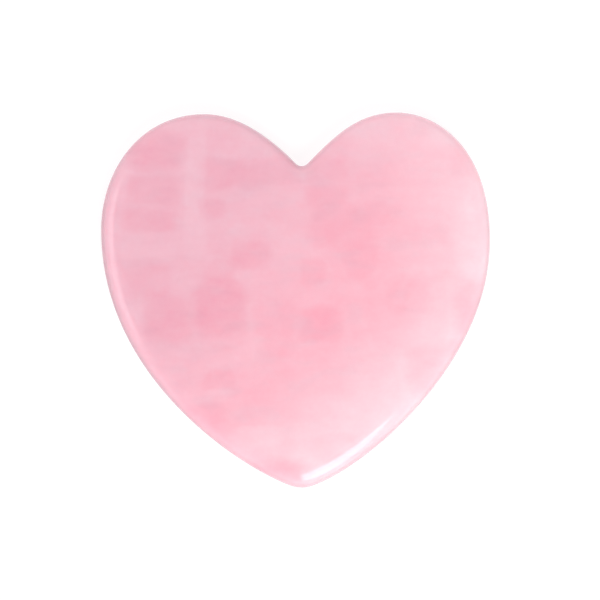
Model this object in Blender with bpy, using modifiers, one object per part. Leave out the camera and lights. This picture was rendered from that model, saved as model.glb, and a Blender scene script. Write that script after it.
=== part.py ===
"""Heart-shaped gua sha scraper: one slab of rose quartz, cut to outline and rounded all the way round.

It lies on its flat underside. +X runs across the two lobes, +Y from the tip to the notch, +Z up
through the slab. The origin is on the underside, at the middle of the outline's box. Units are metres.
"""
from math import cos, radians, sin, tan
from typing import NamedTuple

import bmesh
import bpy
from mathutils import Vector

# The slab
WIDTH = 0.0700
LENGTH = 0.0675
THICKNESS = 0.0060

# The rounding where each flat face turns into the edge; what it leaves of the edge stands upright
EDGE_ROUND = 0.0027
EDGE_ROUND_STEPS = 5
SHARPER_THAN = radians(60)

# The notch between the lobes and the tip are arcs, a little to the right of the middle
NOTCH_X = 0.0011
NOTCH_BOTTOM_Y = 0.0241
NOTCH_RADIUS = 0.00145
TIP_X = 0.0011
TIP_RADIUS = 0.0056

# How many straight lengths each of the outline's eight stretches is made of
STRETCH_STEPS = 16

WELD_DISTANCE = 1e-6


class Lobe(NamedTuple):
    """One half of the heart, measured as if it were the right half."""

    notch_slope: float  # how steeply the flank climbs out of the notch
    flank_pull: tuple[float, float]  # how far the curve holds its direction at its two ends
    crown: tuple[float, float]  # the highest point
    shoulder_pull: tuple[float, float]
    side: tuple[float, float]  # the widest point
    cheek_pull: tuple[float, float]
    tip_slope: float  # how steeply the cheek runs into the tip


RIGHT_LOBE = Lobe(
    notch_slope=radians(46),
    flank_pull=(0.0081, 0.0065),
    crown=(0.01825, LENGTH / 2),
    shoulder_pull=(0.0065, 0.0176),
    side=(WIDTH / 2, 0.0107),
    cheek_pull=(0.0220, 0.0103),
    tip_slope=radians(18),
)
LEFT_LOBE = Lobe(
    notch_slope=radians(46),
    flank_pull=(0.0118, 0.0023),
    crown=(0.0164, 0.03345),
    shoulder_pull=(0.0118, 0.0105),
    side=(WIDTH / 2, 0.0126),
    cheek_pull=(0.0269, 0.0091),
    tip_slope=radians(19),
)


class Knot(NamedTuple):
    """A point of the outline, the direction the outline leaves it in, and its two handle lengths."""

    point: Vector
    heading: Vector
    pull_back: float
    pull_on: float


def arc_pull(radius, sweep):
    """The handle length that makes one curve stretch a circular arc."""
    return 4 / 3 * tan(sweep / 4) * radius


def lobe_knots(lobe, hand):
    """The four knots of one half, from the notch round to the tip. hand is 1 on the right, -1 on the left."""
    notch_pull = arc_pull(NOTCH_RADIUS, RIGHT_LOBE.notch_slope + LEFT_LOBE.notch_slope)
    tip_pull = arc_pull(TIP_RADIUS, RIGHT_LOBE.tip_slope + LEFT_LOBE.tip_slope)
    tip_y = -LENGTH / 2
    notch_end = Vector((
        hand * NOTCH_X + NOTCH_RADIUS * sin(lobe.notch_slope),
        NOTCH_BOTTOM_Y + NOTCH_RADIUS * (1 - cos(lobe.notch_slope)),
    ))
    tip_end = Vector((
        hand * TIP_X + TIP_RADIUS * sin(lobe.tip_slope),
        tip_y + TIP_RADIUS * (1 - cos(lobe.tip_slope)),
    ))
    climbing = Vector((cos(lobe.notch_slope), sin(lobe.notch_slope)))
    closing = Vector((-cos(lobe.tip_slope), -sin(lobe.tip_slope)))
    knots = [
        Knot(notch_end, climbing, notch_pull, lobe.flank_pull[0]),
        Knot(Vector(lobe.crown), Vector((1, 0)), lobe.flank_pull[1], lobe.shoulder_pull[0]),
        Knot(Vector(lobe.side), Vector((0, -1)), lobe.shoulder_pull[1], lobe.cheek_pull[0]),
        Knot(tip_end, closing, lobe.cheek_pull[1], tip_pull),
    ]
    across = Vector((hand, 1))
    return [Knot(k.point * across, k.heading * across, k.pull_back, k.pull_on) for k in knots]


def outline_knots():
    """The whole outline, clockwise from the right side of the notch."""
    right = lobe_knots(RIGHT_LOBE, 1)
    left = lobe_knots(LEFT_LOBE, -1)
    return right + [Knot(k.point, -k.heading, k.pull_on, k.pull_back) for k in reversed(left)]


def outline_curve():
    """The outline as a flat curve with the slab's thickness, filled on both faces."""
    curve = bpy.data.curves.new("outline", "CURVE")
    curve.dimensions = "2D"
    curve.fill_mode = "BOTH"
    curve.extrude = THICKNESS / 2
    curve.resolution_u = STRETCH_STEPS
    spline = curve.splines.new("BEZIER")
    spline.use_cyclic_u = True
    knots = outline_knots()
    spline.bezier_points.add(len(knots) - 1)
    for bezier_point, knot in zip(spline.bezier_points, knots):
        bezier_point.handle_left_type = "FREE"
        bezier_point.handle_right_type = "FREE"
        bezier_point.co = knot.point.to_3d()
        bezier_point.handle_left = (knot.point - knot.heading * knot.pull_back).to_3d()
        bezier_point.handle_right = (knot.point + knot.heading * knot.pull_on).to_3d()
    return curve


def slab_mesh():
    """The extruded outline as one closed mesh, with one face for each cap, welded to the sides."""
    guide = bpy.data.objects.new("outline", outline_curve())
    bpy.context.scene.collection.objects.link(guide)
    evaluated = guide.evaluated_get(bpy.context.evaluated_depsgraph_get())
    mesh = bpy.data.meshes.new_from_object(evaluated)
    curve = guide.data
    bpy.data.objects.remove(guide)
    bpy.data.curves.remove(curve)
    shape = bmesh.new()
    shape.from_mesh(mesh)
    bmesh.ops.remove_doubles(shape, verts=shape.verts, dist=WELD_DISTANCE)
    bmesh.ops.recalc_face_normals(shape, faces=shape.faces)
    for side in (1, -1):
        cap = [face for face in shape.faces if face.normal.z * side > 0.5]
        bmesh.ops.dissolve_faces(shape, faces=cap)
    shape.to_mesh(mesh)
    shape.free()
    return mesh


def rose_quartz():
    material = bpy.data.materials.new("rose_quartz")
    material.use_nodes = True
    shader = material.node_tree.nodes["Principled BSDF"]
    shader.inputs["Base Color"].default_value = (0.90, 0.46, 0.56, 1)
    shader.inputs["Roughness"].default_value = 0.12
    shader.inputs["Metallic"].default_value = 0
    return material


def make_stone(collection):
    mesh = slab_mesh()
    mesh.name = "stone"
    mesh.materials.append(rose_quartz())
    stone = bpy.data.objects.new("stone", mesh)
    stone.location.z = THICKNESS / 2
    collection.objects.link(stone)
    rounding = stone.modifiers.new("polished_edge", "BEVEL")
    rounding.width = EDGE_ROUND
    rounding.segments = EDGE_ROUND_STEPS
    rounding.limit_method = "ANGLE"
    rounding.angle_limit = SHARPER_THAN
    rounding.use_clamp_overlap = False
    mesh.shade_smooth()
    return stone


def main():
    for leftover in list(bpy.data.objects):
        bpy.data.objects.remove(leftover)
    collection = bpy.data.collections.new("gua_sha_scraper")
    bpy.context.scene.collection.children.link(collection)
    make_stone(collection)


main()
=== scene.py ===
"""Looks for the heart-shaped gua sha scraper: a fine polished surface and a rose quartz material,
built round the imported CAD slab. Units are metres, in the CAD's frame: it lies flat, +Z up."""
from math import cos, pi, radians, sin
from typing import NamedTuple

import bmesh
import bpy
import numpy as np
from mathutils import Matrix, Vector, noise


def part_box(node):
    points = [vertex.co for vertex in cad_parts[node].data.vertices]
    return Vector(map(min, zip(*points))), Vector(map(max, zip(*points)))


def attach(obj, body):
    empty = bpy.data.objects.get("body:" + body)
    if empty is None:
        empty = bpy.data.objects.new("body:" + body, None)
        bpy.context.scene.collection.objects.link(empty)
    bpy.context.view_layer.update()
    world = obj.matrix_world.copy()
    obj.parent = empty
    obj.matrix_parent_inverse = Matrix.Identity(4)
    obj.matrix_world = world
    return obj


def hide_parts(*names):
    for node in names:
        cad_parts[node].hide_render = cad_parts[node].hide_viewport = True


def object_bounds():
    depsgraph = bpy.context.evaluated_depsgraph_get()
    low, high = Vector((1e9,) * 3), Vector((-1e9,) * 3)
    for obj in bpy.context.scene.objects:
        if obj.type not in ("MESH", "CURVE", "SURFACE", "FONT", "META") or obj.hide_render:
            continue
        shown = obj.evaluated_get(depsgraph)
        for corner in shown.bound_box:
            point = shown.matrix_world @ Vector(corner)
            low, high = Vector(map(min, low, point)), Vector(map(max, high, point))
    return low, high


MM = 0.001

# ---------------------------------------------------------------- the stone's surface

EDGE_INSET = 3.6 * MM  # how far in from the outline the rounding reaches
ROUND_STEPS = 14  # rings between the widest level and a face
FACE_STEPS = 22  # rings between the rounding and the middle of a face
RING_POINTS = 480

# The CAD slab's widest corners all stand this near its middle level, as a share of its thickness
WIDEST_BAND = 1 / 8
SAME_PLACE_DECIMALS = 7

# The faces were flattened and polished by hand, so they are a little pillowed and uneven
CROWN = 0.05 * MM
WAVE_DEPTH = 0.02 * MM
WAVE_LENGTH = 11 * MM


def cad_outline(node):
    """The CAD slab's outline at its widest level, in order round the heart."""
    low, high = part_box(node)
    middle = (low.z + high.z) / 2
    near_middle = (high.z - low.z) * WIDEST_BAND
    level = [v.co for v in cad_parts[node].data.vertices if abs(v.co.z - middle) < near_middle]
    corners = np.unique(np.round([(p.x, p.y) for p in level], SAME_PLACE_DECIMALS), axis=0)
    return corners[np.argsort(np.arctan2(corners[:, 1], corners[:, 0]))]


def closed_spline(corners, count):
    """Evenly spaced points of the smooth closed curve through the corners, and its outward normals.

    The curve is a periodic cubic spline: bends are its second derivatives at the corners.
    """
    spans = np.linalg.norm(np.roll(corners, -1, 0) - corners, axis=1)
    before = np.roll(spans, 1)
    size = len(corners)
    matrix = np.zeros((size, size))
    rows = np.arange(size)
    matrix[rows, rows - 1] = before
    matrix[rows, rows] = 2 * (before + spans)
    matrix[rows, (rows + 1) % size] = spans
    slopes = (np.roll(corners, -1, 0) - corners) / spans[:, None]
    bends = np.linalg.solve(matrix, 6 * (slopes - np.roll(slopes, 1, 0)))
    starts = np.concatenate([[0], np.cumsum(spans)])
    along = np.linspace(0, starts[-1], count, endpoint=False)
    i = np.searchsorted(starts, along, side="right") - 1
    j = (i + 1) % size
    h = spans[i][:, None]
    t = (along - starts[i])[:, None]
    tilt = slopes[i] - h / 6 * (2 * bends[i] + bends[j])
    points = corners[i] + tilt * t + bends[i] / 2 * t**2 + (bends[j] - bends[i]) / (6 * h) * t**3
    headings = tilt + bends[i] * t + (bends[j] - bends[i]) / (2 * h) * t**2
    headings /= np.linalg.norm(headings, axis=1)[:, None]
    return points, np.stack([headings[:, 1], -headings[:, 0]], axis=1)


def face_drop(x, y, toward_edge, side):
    """How far a face lies under its highest level. toward_edge is 0 at the middle, 1 at the rounding."""
    wave = noise.noise(Vector((x, y, side * WAVE_LENGTH)) / WAVE_LENGTH)
    return CROWN * toward_edge**2 + WAVE_DEPTH * (1 - toward_edge**2) * (0.5 + 0.5 * wave)


def half_rings(outline, normals, half_height, side):
    """Rings from the widest level to the middle of a face: the upper if side is 1, the lower if -1."""
    rings = []
    for step in range(ROUND_STEPS + 1):
        angle = pi / 2 * step / ROUND_STEPS
        inset = outline - normals * EDGE_INSET * (1 - cos(angle))
        height = (half_height - CROWN) * sin(angle)
        rings.append([(x, y, side * height) for x, y in inset])
    rim = outline - normals * EDGE_INSET
    for step in range(1, FACE_STEPS):
        share = 1 - step / FACE_STEPS
        rings.append([
            (x, y, side * (half_height - face_drop(x, y, share, side))) for x, y in rim * share
        ])
    return rings


def stone_mesh(node):
    """One closed skin of rings, from the lower face's middle round the edge to the upper face's."""
    low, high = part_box(node)
    half_height = (high.z - low.z) / 2
    outline, normals = closed_spline(cad_outline(node), RING_POINTS)
    outline = np.clip(outline, low.xy, high.xy)
    upper = half_rings(outline, normals, half_height, 1)
    lower = half_rings(outline, normals, half_height, -1)
    shape = bmesh.new()
    level = Vector((0, 0, low.z + half_height))
    rings = [[shape.verts.new(Vector(p) + level) for p in ring] for ring in lower[:0:-1] + upper]
    for ring, following in zip(rings, rings[1:]):
        for i in range(RING_POINTS):
            j = (i + 1) % RING_POINTS
            shape.faces.new((ring[i], ring[j], following[j], following[i]))
    for ring, side in ((rings[0], -1), (rings[-1], 1)):
        top = half_height - face_drop(0, 0, 0, side)
        pole = shape.verts.new(Vector((0, 0, side * top)) + level)
        for i in range(RING_POINTS):
            j = (i + 1) % RING_POINTS
            shape.faces.new((pole, ring[j], ring[i]) if side < 0 else (pole, ring[i], ring[j]))
    bmesh.ops.recalc_face_normals(shape, faces=shape.faces)
    mesh = bpy.data.meshes.new("rose_quartz_heart")
    shape.to_mesh(mesh)
    shape.free()
    mesh.shade_smooth()
    return mesh


# ---------------------------------------------------------------- rose quartz


def srgb(red, green, blue):
    """A colour given in 0 to 255 as the eye sees it, as the linear values that a shader takes."""
    return tuple(((c / 255 + 0.055) / 1.055) ** 2.4 for c in (red, green, blue)) + (1,)


PLAIN_MILKINESS = 0.32

# The stone's body colours, clear and milky: cooler towards its left side, warmer towards its right
COOL_CLEAR = srgb(231, 164, 182)
WARM_CLEAR = srgb(245, 165, 183)
COOL_PALE = srgb(242, 218, 226)
WARM_PALE = srgb(252, 224, 231)

SMEAR = srgb(219, 157, 176)

# Painted shade at the edge: a greyer, deeper pink round the widest level, standing in for the edge's
# dark reflection of the shaded floor beside it
RIM_PAINTED_SHADE = srgb(205, 160, 172)
RIM_SHADE_BAND = 2.2 * MM  # how far it reaches up and down from the widest level
RIM_SHADE_DEPTH = 0.95  # its share of the colour where it is deepest

# The milkiness's small marks: their sizes, and how much they change it
MOTTLING = (5 * MM, 0.24)
WISPS = (2.4 * MM, 0.23)
GRAIN = (0.7 * MM, 0.10)
WISP_STRETCH = (2.6, 1.0, 1.5)
NOISE_MIDDLE = 0.5

# Faint veils follow the lines where a broad noise crosses its middle, and a finer noise breaks them up
VEIL_SIZE = 24 * MM
VEIL_WIDTH = 0.04
VEIL_BREAK_SIZE = 9 * MM
VEIL_BREAKS = (0.48, 0.62)
VEIL_STRENGTH = 0.05

# Pushes that make soft shapes ragged: the size of the noise, and how far it pushes
RAGGED = ((7 * MM, 1.6 * MM), (1.8 * MM, 0.5 * MM))

SMEAR_SIZE = 2.4 * MM
SMEAR_STRETCH = (2.4, 1.0, 1.5)
SMEAR_TILT = radians(3)
SMEAR_RANGE = (0.44, 0.74)
SMEAR_STRENGTH = 0.30

# The hand polish, and its hairline scratches
UNEVEN_SIZE = 9 * MM
UNEVEN_RANGE = (0.35, 0.65)
SMOOTHEST = 0.05
ROUGHEST = 0.09
RIPPLE_SIZE = 3 * MM
RIPPLE_HEIGHT = 0.003 * MM
SCRATCH_SPACING = 0.6 * MM
SCRATCH_STRETCH = (40.0, 1.0, 1.0)
SCRATCH_HEADING = radians(35)
SCRATCH_WIDTH = 0.02
SCRATCH_PATCH_SIZE = 6 * MM
SCRATCH_PATCHES = (0.50, 0.64)
SCRATCH_ROUGHNESS = 0.06
SCRATCH_DEPTH = 0.0008 * MM

# How light spreads inside the stone
STONE_IOR = 1.54
INNER_SHARE = 0.5
INNER_SPREAD = (1.0, 0.6, 0.65)
INNER_DEPTH = 2 * MM


class Cloud(NamedTuple):
    """A soft patch inside the stone, in millimetres: milkier where depth is above 0, else deeper."""

    x: float
    y: float
    half_width: float
    half_height: float
    depth: float


class Slope(NamedTuple):
    """A steady change along a heading, in degrees from +X, between two distances in millimetres."""

    heading: float
    start: float
    end: float
    depth: float = 1.0


CLOUD_SOFTNESS = 0.75
CLOUD_REACH = 2  # how many thicknesses of the slab a cloud reaches down into it

CLOUDS = (
    # the left lobe: deep patches on both sides of an upright paler strip
    Cloud(-25.0, 27.0, 6.0, 5.0, -0.18),
    Cloud(-25.5, 19.5, 5.8, 3.4, -0.15),
    Cloud(-26.0, 14.0, 5.8, 3.0, -0.17),
    Cloud(-18.0, 20.0, 2.4, 14.0, 0.09),
    Cloud(-11.5, 22.5, 7.5, 3.6, -0.15),
    Cloud(-2.5, 23.0, 4.0, 3.2, -0.10),
    Cloud(-15.0, 16.3, 3.2, 2.6, -0.13),
    # left of the middle: deep patches under a level paler strip
    Cloud(-8.0, 8.2, 4.4, 3.0, -0.15),
    Cloud(-13.5, 5.0, 3.5, 2.6, -0.10),
    Cloud(-26.5, 3.5, 5.0, 4.0, -0.11),
    Cloud(-23.0, -3.5, 5.6, 5.5, -0.17),
    Cloud(-13.5, -1.5, 5.6, 6.4, -0.21),
    Cloud(-3.6, -3.0, 4.6, 4.6, -0.08),
    # the middle
    Cloud(4.6, -4.2, 4.8, 3.8, -0.17),
    Cloud(3.0, 5.3, 2.6, 2.8, -0.11),
    Cloud(11.5, 7.0, 3.8, 3.6, -0.11),
    Cloud(8.5, 13.0, 7.0, 4.6, -0.12),
    Cloud(5.5, 18.5, 4.6, 2.6, -0.12),
    Cloud(5.5, 23.0, 5.0, 2.8, -0.10),
    # the right side
    Cloud(19.0, 31.0, 12.0, 7.0, 0.13),
    Cloud(23.5, 19.5, 6.0, 7.0, 0.08),
    Cloud(15.5, 15.5, 4.0, 3.0, -0.07),
    Cloud(22.5, 7.5, 5.5, 3.4, 0.07),
    Cloud(20.5, 0.5, 5.0, 4.0, -0.09),
    Cloud(36.0, 11.0, 10.0, 14.0, 0.23),
    Cloud(36.0, -3.0, 9.0, 9.0, -0.40),
    Cloud(26.0, -12.5, 7.0, 6.0, -0.23),
    # the lower half, down to the tip
    Cloud(-13.5, -14.0, 4.0, 2.2, -0.14),
    Cloud(-16.5, -21.0, 4.5, 3.0, -0.10),
    Cloud(-3.0, -8.5, 4.5, 2.2, -0.06),
    Cloud(-7.0, -24.8, 5.5, 2.6, 0.13),
    Cloud(7.5, -26.5, 5.0, 3.0, -0.10),
    Cloud(-4.0, -32.5, 8.0, 5.0, -0.34),
)

# The stone is paler towards its lower right side and, less, towards its right: partly milkier stone,
# partly painted light from the window at its front right
MILK_AND_LIGHT_SLOPES = (
    Slope(-52, 9, 29, 0.55),
    Slope(0, 14, 34, 0.20),
)

# Its colour turns warmer the same way, from the left lobe to the lower right
WARMING = Slope(heading=-40, start=-24, end=14)

# The painted shade at its rim is deepest at the left and fades towards the lower right and towards the
# lobes' tops
RIM_SHADE_FADING = (
    WARMING._replace(depth=0.50),
    Slope(90, 12, 30, 0.45),
)


class Graph:
    """Short names for making and joining a material's nodes."""

    def __init__(self, tree):
        self.tree = tree

    def add(self, kind, **settings):
        node = self.tree.nodes.new("ShaderNode" + kind)
        for name, value in settings.items():
            setattr(node, name, value)
        return node

    def put(self, value, socket):
        """value goes into the socket: another node's output is linked, a plain value is set."""
        if isinstance(value, bpy.types.NodeSocket):
            self.tree.links.new(value, socket)
        else:
            socket.default_value = value

    def math(self, operation, *values):
        node = self.add("Math", operation=operation)
        for value, socket in zip(values, node.inputs):
            self.put(value, socket)
        return node.outputs[0]

    def plus(self, total, part, share):
        """total with share times part added to it."""
        return self.math("MULTIPLY_ADD", part, share, total)

    def noise(self, where, size, detail=2.0, roughness=0.5, output="Fac"):
        """Noise from 0 to 1 whose patches are about size across."""
        node = self.add("TexNoise")
        self.put(where, node.inputs["Vector"])
        node.inputs["Scale"].default_value = 1 / size
        node.inputs["Detail"].default_value = detail
        node.inputs["Roughness"].default_value = roughness
        return node.outputs[output]

    def from_middle(self, value, middle):
        """How far a value is from a middle one, to either side."""
        return self.math("ABSOLUTE", self.math("SUBTRACT", value, middle))

    def ramp(self, value, low, high, to_low=0.0, to_high=1.0):
        """value's way from low to high, eased at both ends, as a number from to_low to to_high."""
        node = self.add("MapRange", interpolation_type="SMOOTHSTEP")
        for item, socket in zip((value, low, high, to_low, to_high), node.inputs):
            self.put(item, socket)
        return node.outputs[0]

    def mix(self, share, first, second):
        """A colour this share of the way from the first to the second."""
        # The node's colour sockets come after those for numbers and vectors
        node = self.add("Mix", data_type="RGBA")
        self.put(share, node.inputs[0])
        self.put(first, node.inputs[6])
        self.put(second, node.inputs[7])
        return node.outputs[2]

    def placed(self, where, location=(0, 0, 0), rotation=(0, 0, 0), scale=(1, 1, 1)):
        """where, as seen from a frame with this location, rotation and scale."""
        node = self.add("Mapping", vector_type="TEXTURE")
        self.put(where, node.inputs["Vector"])
        node.inputs["Location"].default_value = location
        node.inputs["Rotation"].default_value = rotation
        node.inputs["Scale"].default_value = scale
        return node.outputs[0]

    def soft_box(self, where, location, rotation, scale, softness):
        """1 inside a rounded box of these half sizes, easing to 0 at its surface."""
        squared = self.add("VectorMath", operation="MULTIPLY")
        inside = self.placed(where, location, rotation, scale)
        self.put(inside, squared.inputs[0])
        self.put(inside, squared.inputs[1])
        ball = self.add("TexGradient", gradient_type="SPHERICAL")
        self.put(squared.outputs[0], ball.inputs[0])
        return self.ramp(ball.outputs["Fac"], 0.0, softness)


def shifted(graph, where, size, reach):
    """where, pushed about by up to reach with noise."""
    push = graph.add("VectorMath", operation="MULTIPLY_ADD")
    graph.put(graph.noise(where, size, output="Color"), push.inputs[0])
    push.inputs[1].default_value = (2 * reach,) * 3
    push.inputs[2].default_value = (-reach,) * 3
    add = graph.add("VectorMath", operation="ADD")
    graph.put(where, add.inputs[0])
    graph.put(push.outputs[0], add.inputs[1])
    return add.outputs[0]


def slope_mask(graph, where, slope):
    """0 before the slope's start, 1 past its end."""
    along = graph.add("VectorMath", operation="DOT_PRODUCT")
    graph.put(where, along.inputs[0])
    along.inputs[1].default_value = (cos(radians(slope.heading)), sin(radians(slope.heading)), 0)
    return graph.ramp(along.outputs["Value"], slope.start * MM, slope.end * MM)


def fine_marks(graph, where):
    """Small changes of milkiness, about 0 on average: mottling, level wisps, grain and faint veils."""
    total = 0.0
    level = graph.placed(where, scale=WISP_STRETCH)
    for place, (size, strength) in ((where, MOTTLING), (level, WISPS), (where, GRAIN)):
        marks = graph.math("SUBTRACT", graph.noise(place, size, detail=3, roughness=0.6), NOISE_MIDDLE)
        total = graph.plus(total, marks, strength)
    fold = graph.from_middle(graph.noise(where, VEIL_SIZE, detail=2, roughness=0.4), NOISE_MIDDLE)
    broken = graph.ramp(graph.noise(where, VEIL_BREAK_SIZE), *VEIL_BREAKS)
    veil = graph.math("MULTIPLY", graph.ramp(fold, 0.0, VEIL_WIDTH, 1.0, 0.0), broken)
    return graph.plus(total, veil, VEIL_STRENGTH)


def milk_and_painted_light(graph, where, top):
    """How milky the stone is at a point, from 0, clear deep pink, to 1, almost white, with painted light
    making its lower right and right sides paler.
    """
    ragged = where
    for size, reach in RAGGED:
        ragged = shifted(graph, ragged, size, reach)
    total = graph.plus(fine_marks(graph, where), 1.0, PLAIN_MILKINESS)
    # Partly painted light: paler towards the lower right and the right, the sides the front-right window
    # lights
    for slope in MILK_AND_LIGHT_SLOPES:
        total = graph.plus(total, slope_mask(graph, ragged, slope), slope.depth)
    for cloud in CLOUDS:
        place = (cloud.x * MM, cloud.y * MM, top)
        half_size = (cloud.half_width * MM, cloud.half_height * MM, CLOUD_REACH * top)
        mask = graph.soft_box(ragged, place, (0, 0, 0), half_size, CLOUD_SOFTNESS)
        total = graph.plus(total, mask, cloud.depth)
    return graph.math("MINIMUM", graph.math("MAXIMUM", total, 0.0), 1.0)


def smears(graph, where):
    """How much greyer and mauver the clear stone is, in small level smears."""
    level = graph.placed(where, rotation=(0, 0, SMEAR_TILT), scale=SMEAR_STRETCH)
    marks = graph.noise(level, SMEAR_SIZE, detail=1, roughness=0.4)
    return graph.ramp(marks, *SMEAR_RANGE, 0.0, SMEAR_STRENGTH)


def scratches(graph, where):
    """1 along thin straight lines, 0 between them, and 0 outside a few patches."""
    along = graph.placed(where, rotation=(0, 0, SCRATCH_HEADING), scale=SCRATCH_STRETCH)
    line = graph.from_middle(graph.noise(along, SCRATCH_SPACING), NOISE_MIDDLE)
    patchy = graph.ramp(graph.noise(where, SCRATCH_PATCH_SIZE), *SCRATCH_PATCHES)
    return graph.math("MULTIPLY", graph.ramp(line, 0.0, SCRATCH_WIDTH, 1.0, 0.0), patchy)


def polish(graph, where):
    """The surface's roughness and normal: a hand polish, with slight ripples and hairline scratches."""
    uneven = graph.noise(where, UNEVEN_SIZE, detail=3, roughness=0.6)
    scratch = scratches(graph, where)
    plain_roughness = graph.ramp(uneven, *UNEVEN_RANGE, SMOOTHEST, ROUGHEST)
    roughness = graph.plus(plain_roughness, scratch, SCRATCH_ROUGHNESS)
    ripples = graph.math("MULTIPLY", graph.noise(where, RIPPLE_SIZE), RIPPLE_HEIGHT)
    bump = graph.add("Bump")
    bump.inputs["Distance"].default_value = 1.0  # the heights are in metres already
    graph.put(graph.plus(ripples, scratch, -SCRATCH_DEPTH), bump.inputs["Height"])
    return roughness, bump.outputs["Normal"]


def painted_rim_shade_share(graph, where, low, high):
    """How much of the painted shade at the rim shows: most at the widest level, none on the faces."""
    apart = graph.add("SeparateXYZ")
    graph.put(where, apart.inputs[0])
    above = graph.from_middle(apart.outputs["Z"], (low.z + high.z) / 2)
    depth = RIM_SHADE_DEPTH
    for slope in RIM_SHADE_FADING:
        depth = graph.plus(depth, slope_mask(graph, where, slope), -slope.depth)
    return graph.ramp(above, RIM_SHADE_BAND / 2, RIM_SHADE_BAND, depth, 0.0)


def rose_quartz(low, high):
    material = bpy.data.materials.new("polished_rose_quartz")
    material.use_nodes = True
    graph = Graph(material.node_tree)
    shader = graph.tree.nodes["Principled BSDF"]
    where = graph.add("TexCoord").outputs["Object"]
    milk_and_light = milk_and_painted_light(graph, where, high.z)
    warmth = slope_mask(graph, where, WARMING)
    clear = graph.mix(warmth, COOL_CLEAR, WARM_CLEAR)
    pale = graph.mix(warmth, COOL_PALE, WARM_PALE)
    face = graph.mix(milk_and_light, graph.mix(smears(graph, where), clear, SMEAR), pale)
    # Painted shade: the band round the widest level is darkened towards a greyer pink
    colour = graph.mix(painted_rim_shade_share(graph, where, low, high), face, RIM_PAINTED_SHADE)
    graph.put(colour, shader.inputs["Base Color"])
    roughness, normal = polish(graph, where)
    graph.put(roughness, shader.inputs["Roughness"])
    graph.put(normal, shader.inputs["Normal"])
    shader.inputs["IOR"].default_value = STONE_IOR
    shader.inputs["Subsurface Weight"].default_value = INNER_SHARE
    shader.inputs["Subsurface Radius"].default_value = INNER_SPREAD
    shader.inputs["Subsurface Scale"].default_value = INNER_DEPTH
    return material


def make_stone():
    low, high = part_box("stone")
    stone = bpy.data.objects.new("polished_stone", stone_mesh("stone"))
    bpy.context.scene.collection.objects.link(stone)
    stone.data.materials.append(rose_quartz(low, high))
    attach(stone, "root")
    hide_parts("stone")


# ---------------------------------------------------------------- the studio


# The white table glows a little, so that it looks as plain white as the sky round it
FLOOR_RADIUS = 4
FLOOR_SIDES = 64
FLOOR_GREY = (0.30, 0.30, 0.30, 1)
FLOOR_ROUGHNESS = 0.9
FLOOR_GLOW = 0.75
WHITE = (1, 1, 1, 1)


def make_floor():
    mesh = bpy.data.meshes.new("floor")
    shape = bmesh.new()
    bmesh.ops.create_circle(shape, cap_ends=True, radius=FLOOR_RADIUS, segments=FLOOR_SIDES)
    shape.to_mesh(mesh)
    shape.free()
    floor = bpy.data.objects.new("floor", mesh)
    bpy.context.scene.collection.objects.link(floor)
    material = bpy.data.materials.new("white_table")
    material.use_nodes = True
    shader = material.node_tree.nodes["Principled BSDF"]
    shader.inputs["Base Color"].default_value = FLOOR_GREY
    shader.inputs["Roughness"].default_value = FLOOR_ROUGHNESS
    shader.inputs["Specular IOR Level"].default_value = 0.0
    shader.inputs["Emission Color"].default_value = WHITE
    shader.inputs["Emission Strength"].default_value = FLOOR_GLOW
    mesh.materials.append(material)


SKY_HORIZON = 1.03
SKY_ZENITH = 0.42
ZENITH_START = 0.8  # the sine of the height at which the sky reaches its zenith's strength


class Window(NamedTuple):
    """A soft bright patch of the sky, in degrees: azimuth from -Y towards +X, tilt from straight up."""

    azimuth: float
    tilt: float
    half_width: float
    half_height: float
    softness: float
    radiance: float


# One to the front right gives the streak on the edge, one is at the left, and a wide faint one is behind
WINDOWS = (
    Window(azimuth=21, tilt=50, half_width=16.5, half_height=22, softness=0.25, radiance=4.4),
    Window(azimuth=-88, tilt=52, half_width=28, half_height=18, softness=0.75, radiance=1.8),
    Window(azimuth=180, tilt=50, half_width=60, half_height=38, softness=0.9, radiance=0.75),
)


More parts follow.
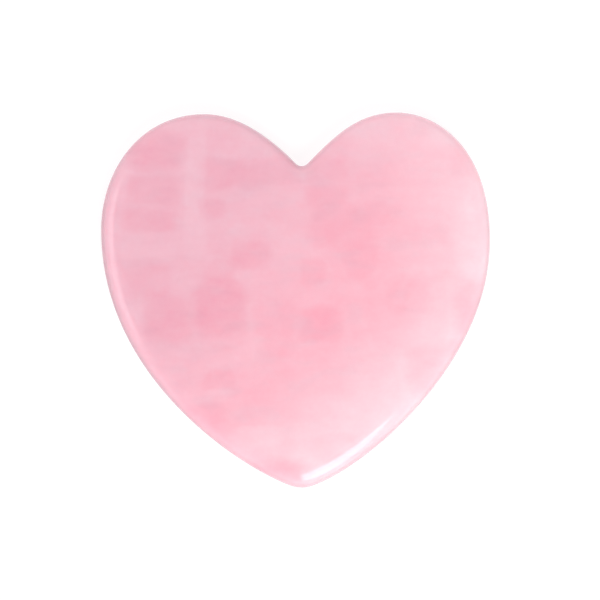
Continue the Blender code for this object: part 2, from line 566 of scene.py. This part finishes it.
def make_sky():
    """Soft white light from all round, brightest at the horizon, with a few brighter windows."""
    world = bpy.data.worlds.new("studio")
    bpy.context.scene.world = world
    world.use_nodes = True
    graph = Graph(world.node_tree)
    toward = graph.add("TexCoord").outputs["Generated"]
    apart = graph.add("SeparateXYZ")
    graph.put(toward, apart.inputs[0])
    total = graph.ramp(apart.outputs["Z"], 0.0, ZENITH_START, SKY_HORIZON, SKY_ZENITH)
    for window in WINDOWS:
        azimuth, tilt = radians(window.azimuth), radians(window.tilt)
        middle = Vector((sin(azimuth) * sin(tilt), -cos(azimuth) * sin(tilt), cos(tilt)))
        upright = middle.to_track_quat("Z", "Y").to_euler()
        half_size = (sin(radians(window.half_width)), sin(radians(window.half_height)), 1)
        mask = graph.soft_box(toward, middle, upright, half_size, window.softness)
        total = graph.plus(total, mask, window.radiance)
    background = graph.tree.nodes["Background"]
    graph.put(total, background.inputs["Strength"])
    background.inputs["Color"].default_value = WHITE


PICTURE_SPAN = 0.10797  # how much the camera takes in across, at the stone's middle level
SENSOR = 36.0
LENS = 200.0
SIDESTEP = 0.00081  # the stone sits a little left of the picture's middle


def make_camera(low, high):
    """A camera that looks straight down on the stone from far enough to take in the picture's span."""
    data = bpy.data.cameras.new("camera")
    data.sensor_width = SENSOR
    data.lens = LENS
    camera = bpy.data.objects.new("camera", data)
    middle = (low + high) / 2
    camera.location = (middle.x + SIDESTEP, middle.y, middle.z + PICTURE_SPAN * LENS / SENSOR)
    bpy.context.scene.collection.objects.link(camera)
    bpy.context.scene.camera = camera


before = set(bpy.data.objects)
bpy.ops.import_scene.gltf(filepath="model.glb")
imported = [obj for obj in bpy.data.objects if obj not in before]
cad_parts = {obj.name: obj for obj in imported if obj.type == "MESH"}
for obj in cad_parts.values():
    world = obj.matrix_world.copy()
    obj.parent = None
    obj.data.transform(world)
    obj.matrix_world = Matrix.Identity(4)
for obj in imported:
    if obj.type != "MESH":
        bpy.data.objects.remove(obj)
cad_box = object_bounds()
make_camera(*cad_box)
make_stone()
make_floor()
make_sky()
bpy.context.scene.view_settings.view_transform = "Standard"
